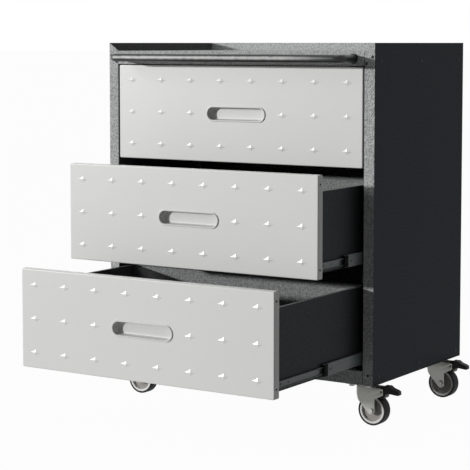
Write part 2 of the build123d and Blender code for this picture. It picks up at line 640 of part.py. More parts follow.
# Brake pedal: a rocker between the ears, with a wide pad behind the wheel and a shoe over the tread
with BuildPart() as pedal:
    root_x = EAR_END - PEDAL_ROOT
    neck_x = EAR_END + PEDAL_NECK
    tip_x = EAR_END + PEDAL_REACH
    hump_x = (neck_x - PEDAL_HUMP_L / 2, neck_x + PEDAL_HUMP_L / 2)
    with BuildSketch(Plane.XZ):
        with BuildLine():
            Polyline((root_x, EAR_Z - PEDAL_ROOT_H / 2), (root_x, EAR_Z + PEDAL_ROOT_H / 2),
                     (hump_x[0], EAR_Z + PEDAL_HUMP), (hump_x[1], EAR_Z + PEDAL_HUMP),
                     (hump_x[1] + PEDAL_HUMP_STEP, EAR_Z + PEDAL_PAD_TOP),
                     (tip_x, EAR_Z + PEDAL_PAD_TOP - PEDAL_DROOP),
                     (tip_x, EAR_Z - PEDAL_PAD_UNDER - PEDAL_DROOP / 2), (hump_x[1], EAR_Z - PEDAL_PAD_UNDER),
                     (neck_x, EAR_Z - PEDAL_HEEL), (PIN_X + PEDAL_SHOE_L / 2, EAR_Z - PEDAL_SHOE),
                     (PIN_X - PEDAL_SHOE_L / 2, EAR_Z - PEDAL_SHOE), (root_x, EAR_Z - PEDAL_ROOT_H / 2))
        make_face()
    extrude(amount=PEDAL_PAD_W / 2, both=True)
    with BuildSketch(Plane.XY.offset(EAR_Z - CASTER_H / 2)):
        with BuildLine():
            root_y = PEDAL_ROOT_W / 2
            pad_y = PEDAL_PAD_W / 2
            Polyline((root_x, 0), (root_x, root_y), (neck_x, root_y), (neck_x, pad_y),
                     (tip_x - PEDAL_PAD_CORNER, pad_y), (tip_x, pad_y - PEDAL_PAD_CORNER), (tip_x, 0))
            mirror(about=Plane.XZ)
        make_face()
    extrude(amount=CASTER_H, mode=Mode.INTERSECT)
    with BuildSketch(Plane.XZ):
        with Locations((PIN_X, EAR_Z)):
            pin_section(PEDAL_PIN_D / 2)
    extrude(amount=FORK_W / 2, both=True)

with BuildPart() as caster_plates:
    with Locations(*[(x, y, FLOOR_Z) for x, y in CASTER_PLACES.values()]):
        add(caster_plate.part)

with BuildPart() as caster_kingpins:
    with Locations(*[(x, y, FLOOR_Z) for x, y in CASTER_PLACES.values()]):
        add(kingpin.part)

with BuildPart() as caster_bolts:
    with Locations(*[(x, y, FLOOR_Z) for x, y in CASTER_PLACES.values()]):
        add(plate_bolts.part)

save(caster_plates.part, "caster_plates")
save(caster_kingpins.part, "caster_kingpins")
save(caster_bolts.part, "caster_bolts")

CASTER_PIECES = ((fork, "fork"), (axle, "axle"), (wheel_hub, "hub"), (tyre, "tyre"), (pedal, "pedal"))

for corner_name, (caster_x, caster_y) in CASTER_PLACES.items():
    caster_place = Location((caster_x, caster_y, FLOOR_Z))
    for piece, piece_name in CASTER_PIECES:
        save(piece.part.moved(caster_place), f"caster_{corner_name}_{piece_name}")
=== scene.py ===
"""Looks of the rolling tool cabinet: finishes, finer meshes and a studio round its CAD model."""

import logging
import math
from dataclasses import dataclass
from enum import Enum

import bmesh
import bpy
from mathutils import Euler, Matrix, Vector


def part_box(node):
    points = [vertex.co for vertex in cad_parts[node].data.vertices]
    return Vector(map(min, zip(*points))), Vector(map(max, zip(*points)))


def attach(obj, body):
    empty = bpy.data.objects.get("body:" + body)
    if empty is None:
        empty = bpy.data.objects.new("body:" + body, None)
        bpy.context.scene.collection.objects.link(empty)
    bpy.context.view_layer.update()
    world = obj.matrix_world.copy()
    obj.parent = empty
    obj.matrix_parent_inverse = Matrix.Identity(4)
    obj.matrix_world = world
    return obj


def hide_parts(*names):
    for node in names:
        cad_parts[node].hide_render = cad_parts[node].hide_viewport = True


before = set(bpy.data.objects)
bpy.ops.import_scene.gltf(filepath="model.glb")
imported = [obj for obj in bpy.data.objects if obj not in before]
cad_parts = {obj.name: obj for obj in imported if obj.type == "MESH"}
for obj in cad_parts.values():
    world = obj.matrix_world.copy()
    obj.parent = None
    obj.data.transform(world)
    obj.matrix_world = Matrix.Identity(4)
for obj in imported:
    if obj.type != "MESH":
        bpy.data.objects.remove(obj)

log = logging.getLogger("rolling_tool_cabinet")

Colour = tuple[float, float, float]
Point2 = tuple[float, float]
Point3 = tuple[float, float, float]
Plug = bpy.types.NodeSocket
Feed = Plug | float | tuple[float, ...]
Mesh = bmesh.types.BMesh
Ring = list[bmesh.types.BMVert]

MM = 0.001
QUARTER_TURN = 0.5 * math.pi


class Slot(Enum):
    """Material slots of the part's record."""

    HAMMERED = "hammered_paint"
    FRONT = "front_paint"
    BOX = "box_paint"
    HANDLE = "handle_paint"
    PULL = "pull_plastic"
    SLIDE = "slide_steel"
    CAGE = "cage_plastic"
    SCREW = "screw_steel"
    CASTER = "caster_steel"
    HUB = "hub_plastic"
    TYRE = "tyre_rubber"
    PEDAL = "pedal_plastic"


class Socket(Enum):
    """Kinds of socket on a shader node group."""

    VALUE = "NodeSocketFloat"
    COLOUR = "NodeSocketColor"
    VECTOR = "NodeSocketVector"


class Pattern(Enum):
    """Patterns of a grained coat, each with the name of the input that sets its scale."""

    GRAIN = "Scale"
    LINES = "Stretch"


def rgba(colour: Colour) -> tuple[float, float, float, float]:
    """Adds full opacity to a colour."""
    return (*colour, 1.0)


class NodeSheet:
    """A node tree with short calls to place nodes and join their sockets."""

    # A Mix node's colour sockets go by number, because their names repeat
    MIX_INPUTS = (0, 6, 7)
    MIX_RESULT = 2

    def __init__(self, tree: bpy.types.NodeTree) -> None:
        """Keeps the tree that the nodes go into."""
        self.tree = tree

    def add(self, kind: str, *values: Feed, **settings: object) -> bpy.types.Node:
        """Places one node and feeds its first inputs.

        Args:
            kind: Blender's name of the node type.
            values: what goes into the inputs, in their order.
            settings: properties of the node, by name.

        Returns:
            The new node.
        """
        node = self.tree.nodes.new(kind)
        for name, value in settings.items():
            setattr(node, name, value)
        for socket, value in zip(node.inputs, values):
            self.feed(socket, value)
        return node

    def join(self, source: Plug, target: Plug) -> None:
        """Joins an output socket to an input socket."""
        self.tree.links.new(source, target)

    def feed(self, target: Plug, value: Feed) -> None:
        """Gives an input its value.

        Args:
            target: the input socket.
            value: a socket to join to it, or a number, colour or vector to set.
        """
        if isinstance(value, Plug):
            self.join(value, target)
        else:
            target.default_value = value

    def math(self, operation: str, first: Feed, second: Feed) -> Plug:
        """Gives the result of a Math node."""
        return self.add("ShaderNodeMath", first, second, operation=operation).outputs[0]

    def weigh(self, first: Plug, second: Plug, share: float) -> Plug:
        """Adds two values, the first by its share and the second by the rest."""
        rest = self.math("MULTIPLY", second, 1.0 - share)
        return self.math("ADD", self.math("MULTIPLY", first, share), rest)

    def blend(self, factor: Feed, first: Feed, second: Feed, way: str = "MIX") -> Plug:
        """Places a colour Mix node.

        Args:
            factor: a socket or a number.
            first: a colour socket or an RGBA colour.
            second: a colour socket or an RGBA colour.
            way: Blender's name of the blend type.

        Returns:
            The node's colour output.
        """
        node = self.add("ShaderNodeMix", data_type="RGBA", blend_type=way)
        for index, value in zip(self.MIX_INPUTS, (factor, first, second)):
            self.feed(node.inputs[index], value)
        return node.outputs[self.MIX_RESULT]

    def choose(self, factor: Plug, first: Plug, second: Plug) -> Plug:
        """Mixes two shaders, the second one by the factor."""
        return self.add("ShaderNodeMixShader", factor, first, second).outputs[0]

    def ramp(
        self, value: Plug, low: float, high: float, start: float = 0.0, end: float = 1.0
    ) -> Plug:
        """Maps a value from low and high to start and end, and holds it between them."""
        return self.add("ShaderNodeMapRange", value, low, high, start, end).outputs["Result"]

    def noise(self, place: Plug, scale: Feed, layers: float) -> Plug:
        """Gives a noise at a point by its features in each metre and its finer layers."""
        return self.add("ShaderNodeTexNoise", place, 0.0, scale, layers).outputs["Fac"]

    def place(self) -> Plug:
        """Gives the point on the surface in the piece's own frame."""
        return self.add("ShaderNodeTexCoord").outputs["Object"]

    def facing(self) -> Plug:
        """Gives the way that the surface faces."""
        return self.add("ShaderNodeNewGeometry").outputs["Normal"]

    def split(self, vector: Plug) -> bpy.types.Node:
        """Places a node with a vector's X, Y and Z as its outputs."""
        return self.add("ShaderNodeSeparateXYZ", vector)


class GroupSheet(NodeSheet):
    """The sheet of a shader node group, with the sockets given to it and its result."""

    COAT = ("Colour", "Roughness", "Height")
    KINDS = {
        "Colour": Socket.COLOUR, "Light": Socket.COLOUR, "Dark": Socket.COLOUR,
        "Dust": Socket.COLOUR, "Stretch": Socket.VECTOR,
    }
    NOISE_MEAN = 0.5

    def __init__(
        self, name: str, inputs: tuple[str, ...], outputs: tuple[str, ...] = COAT
    ) -> None:
        """Makes an empty group with its sockets.

        Args:
            name: the group's name.
            inputs: names of its inputs.
            outputs: names of its outputs.
        """
        super().__init__(bpy.data.node_groups.new(name, "ShaderNodeTree"))
        for side, sockets in (("INPUT", inputs), ("OUTPUT", outputs)):
            for socket in sockets:
                kind = self.KINDS.get(socket, Socket.VALUE).value
                self.tree.interface.new_socket(name=socket, in_out=side, socket_type=kind)
        self.given = self.add("NodeGroupInput").outputs
        self.result = self.add("NodeGroupOutput").inputs

    def close(self, *sources: Plug) -> bpy.types.NodeTree:
        """Joins the group's outputs.

        Args:
            sources: a socket for each output, in their order.

        Returns:
            The group.
        """
        for socket, source in zip(self.result, sources):
            self.join(source, socket)
        return self.tree

    def swing(self, noise: Plug, amount: Feed) -> Plug:
        """Scales how far a noise swings to both sides of its mean."""
        return self.math("MULTIPLY", self.math("SUBTRACT", noise, self.NOISE_MEAN), amount)

    def vary(self, tone: Plug, gloss: Plug, height: Plug) -> bpy.types.NodeTree:
        """Varies the given colour and roughness and closes the group.

        Args:
            tone: relative change of the colour.
            gloss: change of the roughness.
            height: the relief.

        Returns:
            The group.
        """
        gain = self.math("ADD", tone, 1.0)
        tint = self.add("ShaderNodeCombineColor", gain, gain, gain).outputs[0]
        colour = self.blend(1.0, self.given["Colour"], tint, "MULTIPLY")
        return self.close(colour, self.math("ADD", self.given["Roughness"], gloss), height)


class Effects:
    """Shader node groups that several finishes share, each built once."""

    PEBBLE_LAYERS = 1.0
    FINE_PEBBLES = 2.3  # fine ones along the length of a coarse one
    COARSE_SHARE = 0.6
    PEBBLE_EDGE = (0.40, 0.60)
    PEBBLE_ROUGHNESS = (0.55, 0.38)  # between the pebbles and on them
    GRAIN_LAYERS = 2.0
    GRAIN_SHARE = 0.5
    SLOW_SCALE = 5.0
    SLOW_LAYERS = 3.0
    LINE_LAYERS = 3.0
    LINE_ROUGHNESS = 0.3
    DUST_LAYERS = 4.0
    DUST_EDGE = (0.45, 0.75)

    def __init__(self) -> None:
        """Builds every group."""
        self.hammer = self._hammer()
        self.patterns = {Pattern.GRAIN: self._grain(), Pattern.LINES: self._brushing()}
        self.grime = self._grime()

    def _hammer(self) -> bpy.types.NodeTree:
        """Makes the pebbled two-tone pattern of hammered paint.

        Returns:
            The group.
        """
        sheet = GroupSheet("hammered pebbles", ("Light", "Dark", "Pebbles"))
        given, place = sheet.given, sheet.place()
        fine_scale = sheet.math("MULTIPLY", given["Pebbles"], self.FINE_PEBBLES)
        coarse = sheet.noise(place, given["Pebbles"], self.PEBBLE_LAYERS)
        fine = sheet.noise(place, fine_scale, self.PEBBLE_LAYERS)
        height = sheet.weigh(coarse, fine, self.COARSE_SHARE)
        mask = sheet.ramp(height, *self.PEBBLE_EDGE)
        colour = sheet.blend(mask, given["Dark"], given["Light"])
        return sheet.close(colour, sheet.ramp(mask, 0.0, 1.0, *self.PEBBLE_ROUGHNESS), height)

    def _grain(self) -> bpy.types.NodeTree:
        """Makes the fine grain and slow unevenness of paint or moulded plastic.

        Returns:
            The group.
        """
        sheet = GroupSheet("fine grain", ("Colour", "Tone", "Scale", "Roughness"))
        given, place = sheet.given, sheet.place()
        fine = sheet.noise(place, given["Scale"], self.GRAIN_LAYERS)
        slow = sheet.noise(place, self.SLOW_SCALE, self.SLOW_LAYERS)
        tone = sheet.swing(sheet.weigh(fine, slow, self.GRAIN_SHARE), given["Tone"])
        return sheet.vary(tone, sheet.swing(slow, given["Tone"]), fine)

    def _brushing(self) -> bpy.types.NodeTree:
        """Makes the long drawn lines of rolled or plated steel.

        Returns:
            The group.
        """
        sheet = GroupSheet("drawn lines", ("Colour", "Tone", "Stretch", "Roughness"))
        sides = (sheet.place(), sheet.given["Stretch"])
        spot = sheet.add("ShaderNodeVectorMath", *sides, operation="MULTIPLY").outputs[0]
        lines = sheet.noise(spot, 1.0, self.LINE_LAYERS)
        tone = sheet.swing(lines, sheet.given["Tone"])
        return sheet.vary(tone, sheet.swing(lines, self.LINE_ROUGHNESS), lines)

    def _grime(self) -> bpy.types.NodeTree:
        """Makes the thin uneven dust over another colour.

        Returns:
            The group.
        """
        sheet = GroupSheet("workshop dust", ("Colour", "Dust", "Amount", "Scale"), ("Colour",))
        given = sheet.given
        patches = sheet.noise(sheet.place(), given["Scale"], self.DUST_LAYERS)
        mask = sheet.math("MULTIPLY", sheet.ramp(patches, *self.DUST_EDGE), given["Amount"])
        return sheet.close(sheet.blend(mask, given["Colour"], given["Dust"]))


class Coating:
    """A node material in the making: its sheet and its Principled shader."""

    def __init__(self, name: str) -> None:
        """Makes an empty material.

        Args:
            name: the material's name.
        """
        self.material = bpy.data.materials.new(name)
        self.material.use_nodes = True
        self.sheet = NodeSheet(self.material.node_tree)
        self.shader = self.material.node_tree.nodes["Principled BSDF"]

    def place(self, group: bpy.types.NodeTree, **values: Feed) -> bpy.types.Node:
        """Places a shared effect.

        Args:
            group: the effect's node group.
            values: a number, colour, vector or socket for each named input.

        Returns:
            The group node.
        """
        node = self.sheet.add("ShaderNodeGroup", node_tree=group)
        for name, value in values.items():
            self.sheet.feed(node.inputs[name], value)
        return node

    def surface(self, colour: Plug, roughness: Plug) -> None:
        """Joins a colour and a roughness to the shader."""
        self.sheet.join(colour, self.shader.inputs["Base Color"])
        self.sheet.join(roughness, self.shader.inputs["Roughness"])

    def relief(self, height: Plug, depth: float, strength: float) -> None:
        """Joins a height to the shader through a Bump node.

        Args:
            height: the height socket.
            depth: depth of the relief in metres.
            strength: share of the relief that is kept.
        """
        bump = self.sheet.add("ShaderNodeBump")
        bump.inputs["Distance"].default_value = depth
        bump.inputs["Strength"].default_value = strength
        self.sheet.join(height, bump.inputs["Height"])
        self.sheet.join(bump.outputs["Normal"], self.shader.inputs["Normal"])

    def set(self, **values: Feed) -> None:
        """Feeds other shader sockets, by name with underscores for spaces."""
        for name, value in values.items():
            self.sheet.feed(self.shader.inputs[name.replace("_", " ")], value)


@dataclass(frozen=True)
class HammeredPaint:
    """Pebbled grey powder coat, with smooth, dark painted shade on the side and back walls that
    face outwards and a share of it on those that face inwards.
    """

    slot: Slot
    light: Colour
    dark: Colour
    # Smooth dark colours of the painted shade on the walls
    shaded_wall_light: Colour = (0.024, 0.026, 0.029)
    shaded_wall_dark: Colour = (0.019, 0.021, 0.024)
    shade_mask_from: float = 0.16
    wall_flake: float = 0.85
    wall_edge: Colour = (0.5, 0.5, 0.5)
    wall_relief: float = 0.06
    # Share of the painted shade that the walls facing inwards get
    inward_shade_share: float = 0.0
    pebbles: float = 275.0
    depth: float = 0.0006
    strength: float = 0.35
    specular: float = 0.04

    def material(self, effects: Effects) -> bpy.types.Material:
        """Builds the node material.

        Args:
            effects: the shared node groups.

        Returns:
            The material.
        """
        coat = Coating(f"{self.slot.value}_finish")
        sheet = coat.sheet
        # Painted shade: masks of the walls that face outwards and backwards, and a share on those
        # facing inwards
        outward_shade, inward_shade = self.shade_masks(sheet)
        wall = sheet.math("MAXIMUM", outward_shade, sheet.math("MULTIPLY", inward_shade, self.inward_shade_share))
        pattern = coat.place(
            effects.hammer,
            Light=sheet.blend(wall, rgba(self.light), rgba(self.shaded_wall_light)),
            Dark=sheet.blend(wall, rgba(self.dark), rgba(self.shaded_wall_dark)),
            Pebbles=self.pebbles,
        )
        coat.surface(pattern.outputs["Colour"], pattern.outputs["Roughness"])
        calm = sheet.ramp(wall, 0.0, 1.0, 1.0, self.wall_relief)
        height = sheet.math("MULTIPLY", pattern.outputs["Height"], calm)
        coat.relief(height, self.depth, self.strength)
        coat.set(
            Metallic=sheet.math("MULTIPLY", outward_shade, self.wall_flake),
            Specular_IOR_Level=self.specular,
            Specular_Tint=rgba(self.wall_edge),
        )
        return coat.material

    def shade_masks(self, sheet: NodeSheet) -> tuple[Plug, Plug]:
        """Finds where shade is painted: the side and back walls that look outwards, and the side
        walls that look inwards.

        Args:
            sheet: the material's sheet.

        Returns:
            The two masks of painted shade, the outward one first.
        """
        facing = sheet.split(sheet.facing())
        spot = sheet.split(sheet.place())
        sideways = sheet.math("MULTIPLY", facing.outputs["X"], spot.outputs["X"])
        behind = sheet.math("MAXIMUM", facing.outputs["Y"], 0.0)
        rear = sheet.math("MULTIPLY", behind, spot.outputs["Y"])
        away = sheet.math("MAXIMUM", sideways, rear)
        outward_shade = sheet.math("GREATER_THAN", away, self.shade_mask_from)
        return outward_shade, sheet.math("LESS_THAN", sideways, -self.shade_mask_from)


@dataclass(frozen=True)
class GrainedCoat:
    """Satin paint or moulded plastic with a fine grain and a little dust."""

    slot: Slot
    colour: Colour
    roughness: float
    tone: float = 0.08
    scale: Feed = 1400.0
    depth: float = 0.0001
    strength: float = 0.25
    dust: Colour = (0.45, 0.44, 0.42)
    dust_amount: float = 0.0
    dust_scale: float = 30.0
    specular: float = 0.4
    metallic: float = 0.0
    pattern: Pattern = Pattern.GRAIN
    part: str = "finish"

    def base(self, sheet: NodeSheet) -> Feed:
        """Gives the colour under the pattern and the dust."""
        return rgba(self.colour)

    def material(self, effects: Effects) -> bpy.types.Material:
        """Builds the node material.

        Args:
            effects: the shared node groups.

        Returns:
            The material.
        """
        coat = Coating(f"{self.slot.value}_{self.part}")
        grain = coat.place(
            effects.patterns[self.pattern], Colour=self.base(coat.sheet), Tone=self.tone,
            Roughness=self.roughness, **{self.pattern.value: self.scale},
        ).outputs
        dusty = coat.place(
            effects.grime, Colour=grain["Colour"], Dust=rgba(self.dust),
            Amount=self.dust_amount, Scale=self.dust_scale,
        )
        coat.surface(dusty.outputs["Colour"], grain["Roughness"])
        coat.relief(grain["Height"], self.depth, self.strength)
        coat.set(Specular_IOR_Level=self.specular, Metallic=self.metallic)
        return coat.material


@dataclass(frozen=True)
class PaintedHighlightCoat(GrainedCoat):
    """Dark satin paint with a painted highlight: a pale band where the tube faces slightly up
    towards the front, fading out towards its right end.
    """

    tone: float = 0.15
    scale: Feed = 900.0
    specular: float = 0.3
    # Pale colour, facing, fade along X and edge of the painted highlight
    highlight_colour: Colour = (0.46, 0.46, 0.45)
    highlight_facing: Point3 = (0.0, -0.994, 0.11)
    highlight_fade_x: Point2 = (0.19, 0.315)
    highlight_edge: Point2 = (0.86, 1.0)
    # Random unevenness along the edge of the painted highlight
    mottle: float = 0.03
    mottle_scale: float = 60.0
    mottle_layers: float = 3.0
    mottle_edge: Point2 = (0.3, 0.7)

    def base(self, sheet: NodeSheet) -> Feed:
        """Mixes in the pale colour of the painted highlight where the tube faces the given way,
        fading it out along X.

        Args:
            sheet: the material's sheet.

        Returns:
            The mixed colour.
        """
        ways = (sheet.facing(), self.highlight_facing)
        toward_highlight = sheet.add("ShaderNodeVectorMath", *ways, operation="DOT_PRODUCT").outputs["Value"]
        patches = sheet.noise(sheet.place(), self.mottle_scale, self.mottle_layers)
        mottle = sheet.ramp(patches, *self.mottle_edge, -self.mottle, self.mottle)
        band = sheet.ramp(sheet.math("ADD", toward_highlight, mottle), *self.highlight_edge)
        fade = sheet.ramp(sheet.split(sheet.place()).outputs["X"], *self.highlight_fade_x, 1.0, 0.0)
        return sheet.blend(sheet.math("MULTIPLY", band, fade), rgba(self.colour), rgba(self.highlight_colour))


@dataclass(frozen=True)
class DrawnSteel(GrainedCoat):
    """Plated or blackened steel with drawn lines, whose scale has a number for each axis."""

    tone: float = 0.35
    scale: Feed = (900.0, 14.0, 900.0)
    depth: float = 0.00005
    strength: float = 0.3
    dust: Colour = (0.2, 0.19, 0.18)
    dust_amount: float = 0.1
    dust_scale: float = 45.0
    specular: float = 0.5
    metallic: float = 0.85
    pattern: Pattern = Pattern.LINES


class Wardrobe:
    """Every finish of the cabinet as a material, found by its slot."""

    FINISHES = (
        HammeredPaint(
            Slot.HAMMERED, (0.66, 0.67, 0.67), (0.36, 0.365, 0.365),
            inward_shade_share=0.80, depth=0.0058, strength=0.9,
        ),
        HammeredPaint(
            Slot.BOX, (0.34, 0.345, 0.345), (0.16, 0.165, 0.165),
            (0.028, 0.029, 0.031), (0.024, 0.025, 0.027), wall_relief=0.15,
        ),
        GrainedCoat(Slot.FRONT, (0.745, 0.745, 0.73), 0.285, tone=0.03, scale=1800.0),
        PaintedHighlightCoat(Slot.HANDLE, (0.026, 0.027, 0.028), 0.32),
        GrainedCoat(Slot.PULL, (0.64, 0.64, 0.625), 0.38, tone=0.04, scale=2200.0),
        GrainedCoat(Slot.CAGE, (0.006, 0.006, 0.006), 0.5, tone=0.1, specular=0.02),
        GrainedCoat(Slot.HUB, (0.86, 0.86, 0.85), 0.40, tone=0.04, dust_amount=0.05),
        GrainedCoat(
            Slot.TYRE, (0.016, 0.016, 0.017), 0.62, tone=0.2, scale=2600.0,
            dust=(0.08, 0.078, 0.075), dust_amount=0.15, specular=0.15,
        ),
        GrainedCoat(
            Slot.PEDAL, (0.008, 0.008, 0.009), 0.42, tone=0.15, scale=1700.0,
            dust=(0.06, 0.06, 0.06), dust_amount=0.04, specular=0.12,
        ),
        DrawnSteel(Slot.SLIDE, (0.088, 0.103, 0.103), 0.45, metallic=0.15),
        DrawnSteel(
            Slot.SCREW, (0.014, 0.014, 0.015), 0.45, scale=(500.0, 500.0, 500.0),
            dust_amount=0.03, metallic=0.75,
        ),
        DrawnSteel(
            Slot.CASTER, (0.45, 0.45, 0.42), 0.36, tone=0.25,
            scale=(260.0, 700.0, 260.0), metallic=0.35,
        ),
    )
    HUB_DISC = GrainedCoat(
        Slot.HUB, (0.34, 0.32, 0.30), 0.55, tone=0.12, dust_amount=0.2, specular=0.2, part="disc"
    )

    def __init__(self) -> None:
        """Builds the shared effects and each finish."""
        effects = Effects()
        self.materials = {finish.slot: finish.material(effects) for finish in self.FINISHES}
        self.hub_disc = self.HUB_DISC.material(effects)

    def dress(self, piece: bpy.types.Object, slot: Slot) -> None:
        """Gives a piece the finish of a slot as its one material."""
        piece.data.materials.clear()
        piece.data.materials.append(self.materials[slot])


class Forge:
    """Mesh making that the sub-assemblies share."""

    ROUNDING_LIMIT = 0.49  # largest share of a side that one rounding takes
    ON_AXIS = 1e-7
    WELD = 1e-6
    FLAT = math.radians(1.0)
    FOLD = math.radians(32.0)

    @staticmethod
    def rounded(corners: list[Point3], steps: int = 4) -> list[Point2]:
        """Rounds the corners of a closed section.

        Args:
            corners: each corner's two coordinates and its radius.
            steps: points on each rounded corner.

        Returns:
            The section's points in order.
        """
        points: list[Point2] = []
        for index, (u, v, radius) in enumerate(corners):
            if radius <= 0.0:
                points.append((u, v))
                continue
            here = Vector((u, v))
            before = Vector(corners[index - 1][:2]) - here
            after = Vector(corners[(index + 1) % len(corners)][:2]) - here
            limit = Forge.ROUNDING_LIMIT * min(before.length, after.length)
            reach = min(radius / math.tan(before.angle(after) / 2), limit)
            start = here + before.normalized() * reach
            end = here + after.normalized() * reach
            for step in range(steps + 1):
                share = step / steps
                spot = start.lerp(here, share).lerp(here.lerp(end, share), share)
                points.append((spot.x, spot.y))
        return points

    @staticmethod
    def turn(
        mesh: Mesh, section: list[Point2], centre: Vector, axis: Vector, sides: int
    ) -> None:
        """Turns a closed section about an axis.

        Args:
            mesh: the mesh that takes it.
            section: radius and height of each point; two on the axis close the form.
            centre: a point on the axis.
            axis: the axis direction.
            sides: sides of the form.
        """
        turn = axis.normalized().to_track_quat("Z", "Y").to_matrix()
        rings: list[Ring] = []
        for radius, height in section:
            ring = []
            for side in range(1 if radius < Forge.ON_AXIS else sides):
                angle = 2 * math.pi * side / sides
                spot = Vector((radius * math.cos(angle), radius * math.sin(angle), height))
                ring.append(mesh.verts.new(centre + turn @ spot))
            rings.append(ring)
        for ring, after in zip(rings, rings[1:] + rings[:1]):
            if len(ring) == 1 and len(after) == 1:
                continue
            for side in range(sides):
                nxt = (side + 1) % sides
                if len(ring) == 1:
                    mesh.faces.new((ring[0], after[nxt], after[side]))
                elif len(after) == 1:
                    mesh.faces.new((ring[side], ring[nxt], after[0]))
                else:
                    mesh.faces.new((ring[side], ring[nxt], after[nxt], after[side]))

    @staticmethod
    def bridge(mesh: Mesh, first: Ring, second: Ring) -> None:
        """Joins two closed rings with a band of faces.

        Args:
            mesh: the mesh with the rings.
            first: the one ring.
            second: the other ring, of as many vertices.
        """
        for side, vertex in enumerate(first):
            nxt = (side + 1) % len(first)
            mesh.faces.new((vertex, first[nxt], second[nxt], second[side]))

    @staticmethod
    def loop_edges(mesh: Mesh, ring: Ring) -> list[bmesh.types.BMEdge]:
        """Gives the edges of a closed ring, made where they are missing."""
        pairs = zip(ring, ring[1:] + ring[:1])
        return [mesh.edges.get(pair) or mesh.edges.new(pair) for pair in pairs]

    @staticmethod
    def copied(node: str) -> Mesh:
        """Copies a CAD node's mesh and joins the vertices that are in one place.

        Args:
            node: the CAD node.

        Returns:
            The mesh.
        """
        mesh = bmesh.new()
        mesh.from_mesh(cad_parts[node].data)
        bmesh.ops.remove_doubles(mesh, verts=mesh.verts, dist=Forge.WELD)
        return mesh

    @staticmethod
    def softened(node: str, width: float, segments: int = 2) -> Mesh:
        """Copies a CAD node's mesh and rounds its sharp edges.

        Args:
            node: the CAD node.
            width: width of the rounding in metres.
            segments: steps across each rounding.

        Returns:
            The mesh.
        """
        mesh = Forge.copied(node)
        bmesh.ops.dissolve_limit(
            mesh, angle_limit=Forge.FLAT, verts=mesh.verts, edges=mesh.edges
        )
        sharp = [
            edge for edge in mesh.edges
            if len(edge.link_faces) == 2 and edge.calc_face_angle(0.0) > Forge.FOLD
        ]
        bmesh.ops.bevel(
            mesh, geom=sharp, offset=width, offset_type="OFFSET", segments=segments,
            profile=0.5, affect="EDGES", clamp_overlap=True,
        )
        return mesh

    @staticmethod
    def islands(node: str) -> list[tuple[Vector, Vector]]:
        """Finds the separate solids of a CAD node.

        Args:
            node: the CAD node.

        Returns:
            The lowest and highest corner of each solid.
        """
        mesh = Forge.copied(node)
        left = set(mesh.verts)
        boxes = []
        while left:
            stack = [min(left, key=lambda vertex: vertex.index)]
            left.discard(stack[0])
            corners = []
            while stack:
                vertex = stack.pop()
                corners.append(vertex.co.copy())
                for edge in vertex.link_edges:
                    other = edge.other_vert(vertex)
                    if other in left:
                        left.discard(other)
                        stack.append(other)
            low, high = (
                Vector([pick(corner[i] for corner in corners) for i in range(3)])
                for pick in (min, max)
            )
            boxes.append((low, high))
        mesh.free()
        return boxes

    @staticmethod
    def piece(name: str, mesh: Mesh, sharp: float = 35.0) -> bpy.types.Object:
        """Makes an object from a mesh, with its faces outwards and smooth up to an angle.

        Args:
            name: the object's name.
            mesh: its mesh, which is freed.
            sharp: angle in degrees above which an edge stays sharp.

        Returns:
            The object, linked to the scene.
        """
        bmesh.ops.recalc_face_normals(mesh, faces=mesh.faces)
        data = bpy.data.meshes.new(name)
        mesh.to_mesh(data)
        mesh.free()
        data.polygons.foreach_set("use_smooth", [True] * len(data.polygons))
        data.set_sharp_from_angle(angle=math.radians(sharp))
        made = bpy.data.objects.new(name, data)
        bpy.context.scene.collection.objects.link(made)
        return made


@dataclass
class Assembly:
    """A sub-assembly and the finishes it draws on."""

    # Radius and height along a domed screw head with its socket, as shares of the whole
    HEAD_SECTION = (
        (0.0, 0.0), (1.0, 0.0), (1.0, 0.28), (0.93, 0.52), (0.78, 0.78),
        (0.55, 0.95), (0.36, 1.0), (0.30, 0.55), (0.0, 0.5),
    )
    HEAD_RADIUS = 0.46  # share of the plain head's width
    HEAD_SIDES = 20

    wardrobe: Wardrobe

    def keep(self, node: str, slot: Slot) -> None:
        """Dresses a CAD node that stays as it is."""
        self.wardrobe.dress(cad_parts[node], slot)
        log.info("%s keeps its CAD form in %s", node, slot.value)

    def fit(self, piece: bpy.types.Object, body: str, slot: Slot, *nodes: str) -> bpy.types.Object:
        """Dresses a new piece and puts it on its body in place of CAD nodes.

        Args:
            piece: the new piece.
            body: the CAD body it rides on.
            slot: the slot of its finish.
            nodes: the CAD nodes it stands for.

        Returns:
            The piece.
        """
        self.wardrobe.dress(piece, slot)
        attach(piece, body)
        if nodes:
            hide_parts(*nodes)
        log.info("%s rides on %s in %s", piece.name, body, slot.value)
        return piece

    def button_heads(self, node: str, body: str) -> None:
        """Puts domed button heads where a node has its plain screw heads.

        Args:
            node: the CAD node with the heads.
            body: the CAD body they ride on.
        """
        whole = bmesh.new()
        for low, high in Forge.islands(node):
            size = high - low
            thin = min(range(3), key=lambda i: size[i])
            rise = size[thin]
            radius = max(size) * self.HEAD_RADIUS
            centre = (low + high) / 2
            axis = Vector((0, 0, 0))
            axis[thin] = -1.0 if thin == 1 else math.copysign(1.0, centre[thin])
            foot = centre - axis * (rise / 2)
            section = [(radius * u, rise * v) for u, v in self.HEAD_SECTION]
            Forge.turn(whole, section, foot, axis, self.HEAD_SIDES)
        self.fit(Forge.piece(node + "_domed", whole), body, Slot.SCREW, node)


